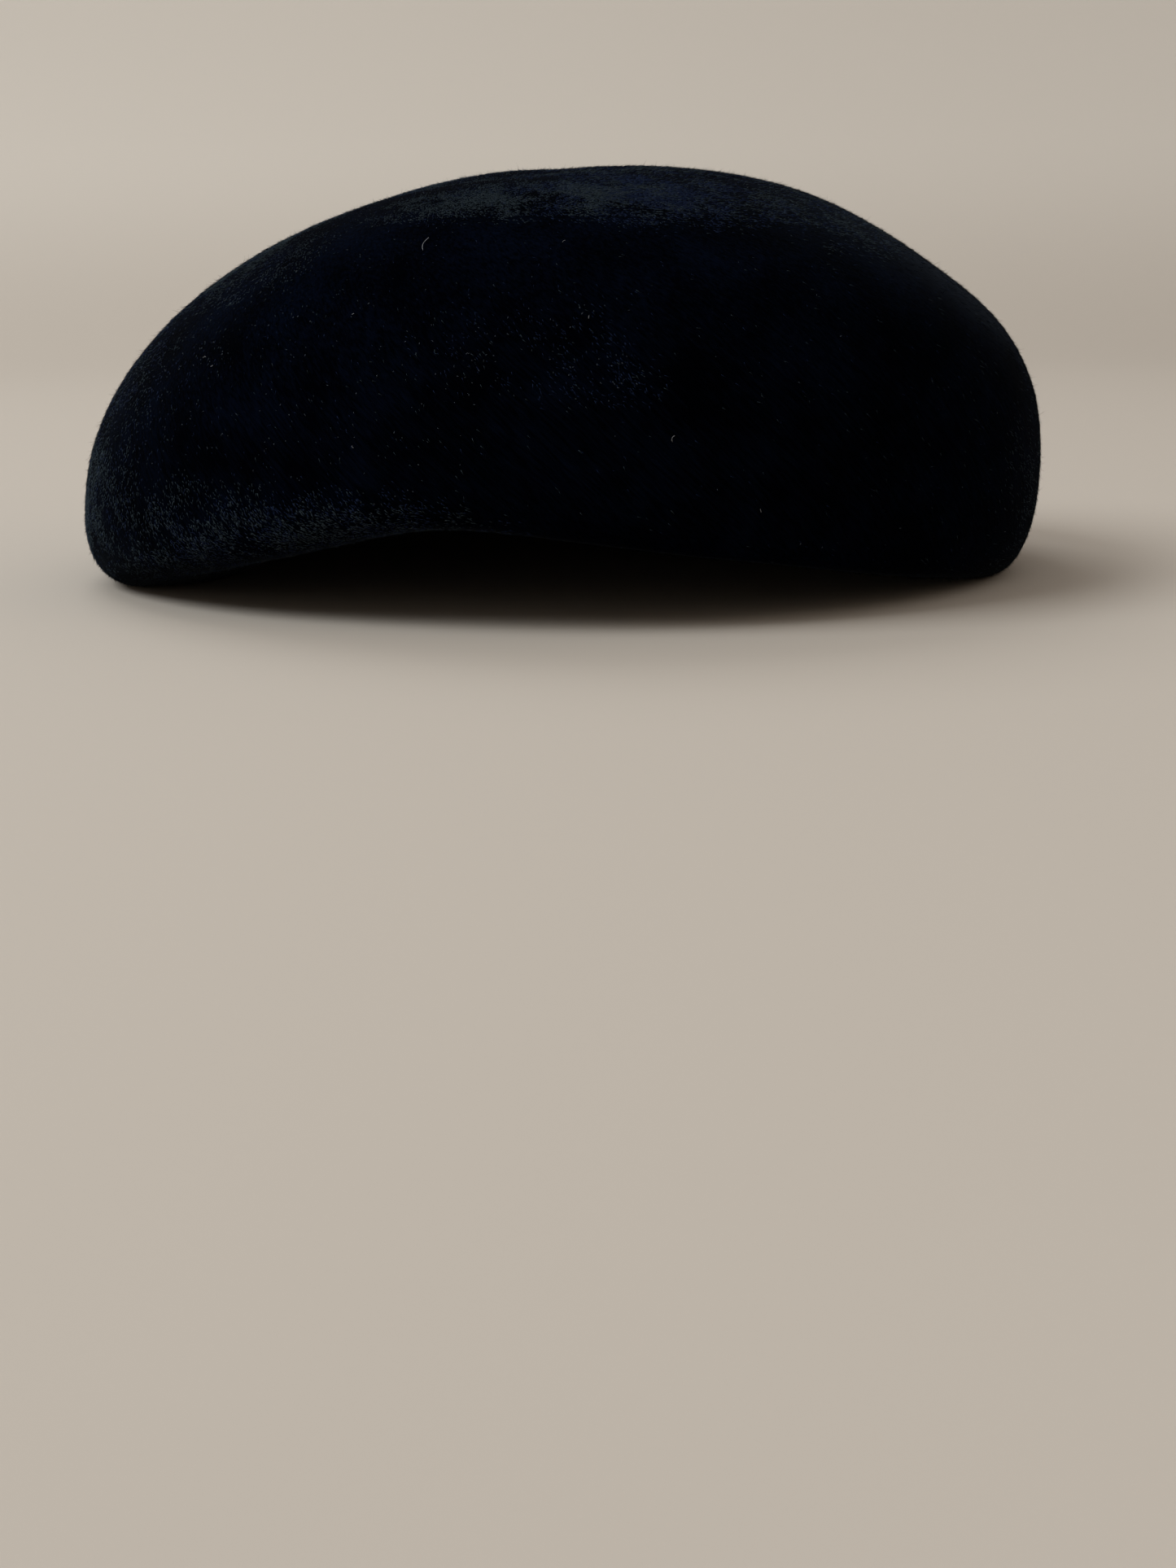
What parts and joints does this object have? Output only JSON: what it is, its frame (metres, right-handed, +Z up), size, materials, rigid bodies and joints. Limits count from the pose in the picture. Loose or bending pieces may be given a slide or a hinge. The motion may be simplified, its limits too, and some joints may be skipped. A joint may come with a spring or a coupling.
{
  "type": "tam",
  "caption": "Plain black velour felt tam: a wide soft crown whose rim turns in to an oval head opening and arches over the brow.",
  "frame": {"origin": "on the surface the tam rests on, under the middle of the crown", "axes": "+Z up through the crown, -Y to the front where the rim arches over the brow, +X to the viewer's right"},
  "size_m": [0.215, 0.218, 0.0887],
  "materials": {
    "velour_felt": "matt short-pile velour with a soft sheen at grazing angles"
  },
  "bodies": {
    "root": {"felt_crown": "velour_felt"}
  },
  "joints": []
}
